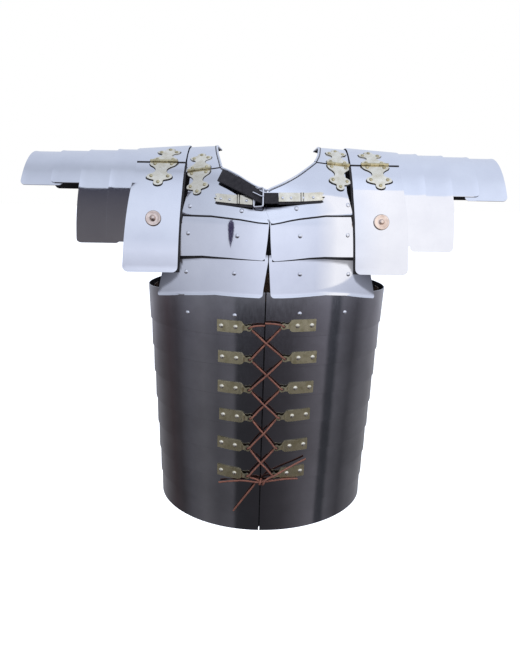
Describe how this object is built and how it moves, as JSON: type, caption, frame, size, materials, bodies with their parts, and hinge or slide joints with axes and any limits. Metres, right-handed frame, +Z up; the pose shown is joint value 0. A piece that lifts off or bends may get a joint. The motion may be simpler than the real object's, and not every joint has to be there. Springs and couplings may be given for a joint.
{
  "type": "lorica segmentata",
  "caption": "Roman plate armour for the torso: laced girdle hoops, hinged chest and back plates, collar plates and layered shoulder and arm guards, worn and hollow.",
  "frame": {"origin": "On the middle of the wearer, between the shoulders, at the height where the collar plates rest on them.", "axes": "+X towards the side that a viewer in front sees on the right, +Y to the back of the wearer, +Z up; the front faces -Y."},
  "size_m": [0.7076, 0.2994, 0.583],
  "materials": {
    "polished_steel": "polished sheet steel",
    "dark_steel": "polished, darker sheet steel",
    "pale_brass": "polished pale brass",
    "old_brass": "worn olive brass",
    "brown_leather": "smooth round lace",
    "black_leather": "smooth strap",
    "buckle_steel": "polished cast"
  },
  "bodies": {
    "base": {"girdle_hoop_1": "dark_steel", "girdle_hoop_2": "dark_steel", "girdle_hoop_3": "dark_steel", "girdle_hoop_4": "dark_steel", "girdle_hoop_5": "dark_steel", "girdle_hoop_6": "dark_steel", "girdle_hoop_7": "dark_steel", "girdle_hoop_8": "dark_steel", "chest_plate_lower_left": "polished_steel", "chest_plate_lower_right": "polished_steel", "chest_plate_upper_left": "polished_steel", "chest_plate_upper_right": "polished_steel", "breast_plate_left": "polished_steel", "breast_plate_right": "polished_steel", "back_plate_lower": "polished_steel", "back_plate_middle": "polished_steel", "back_plate_upper": "polished_steel", "collar_plate_left": "polished_steel", "collar_plate_right": "polished_steel", "shoulder_guard_left": "polished_steel", "shoulder_guard_right": "polished_steel", "arm_guard_1_left": "polished_steel", "arm_guard_1_right": "polished_steel", "arm_guard_2_left": "polished_steel", "arm_guard_2_right": "polished_steel", "arm_guard_3_left": "polished_steel", "arm_guard_3_right": "polished_steel", "arm_guard_4_left": "polished_steel", "arm_guard_4_right": "polished_steel", "tie_plate_1_left": "old_brass", "tie_plate_1_right": "old_brass", "tie_plate_2_left": "old_brass", "tie_plate_2_right": "old_brass", "tie_plate_3_left": "old_brass", "tie_plate_3_right": "old_brass", "tie_plate_4_left": "old_brass", "tie_plate_4_right": "old_brass", "tie_plate_5_left": "old_brass", "tie_plate_5_right": "old_brass", "tie_plate_6_left": "old_brass", "tie_plate_6_right": "old_brass", "flap_hinge_upper_left": "pale_brass", "flap_hinge_upper_right": "pale_brass", "collar_hinge_left": "pale_brass", "collar_hinge_right": "pale_brass", "buckle_mount_left": "pale_brass", "buckle_mount_right": "pale_brass", "lace_left": "brown_leather", "lace_right": "brown_leather", "lace_tie": "brown_leather", "buckle_strap": "black_leather", "buckle": "buckle_steel"},
    "flap_left": {"guard_flap_left": "polished_steel", "flap_hinge_lower_left": "pale_brass", "flap_boss_left": "pale_brass"},
    "flap_right": {"guard_flap_right": "polished_steel", "flap_hinge_lower_right": "pale_brass", "flap_boss_right": "pale_brass"}
  },
  "joints": [
    {"name": "flap_hinge_left", "type": "hinge", "parent": "base", "child": "flap_left", "pos_m": [-0.149, -0.07589, -0.02282], "axis": [-1, 0, 0], "range_deg": [0, 70]},
    {"name": "flap_hinge_right", "type": "hinge", "parent": "base", "child": "flap_right", "pos_m": [0.153, -0.07589, -0.02282], "axis": [-1, 0, 0], "range_deg": [0, 70]}
  ]
}
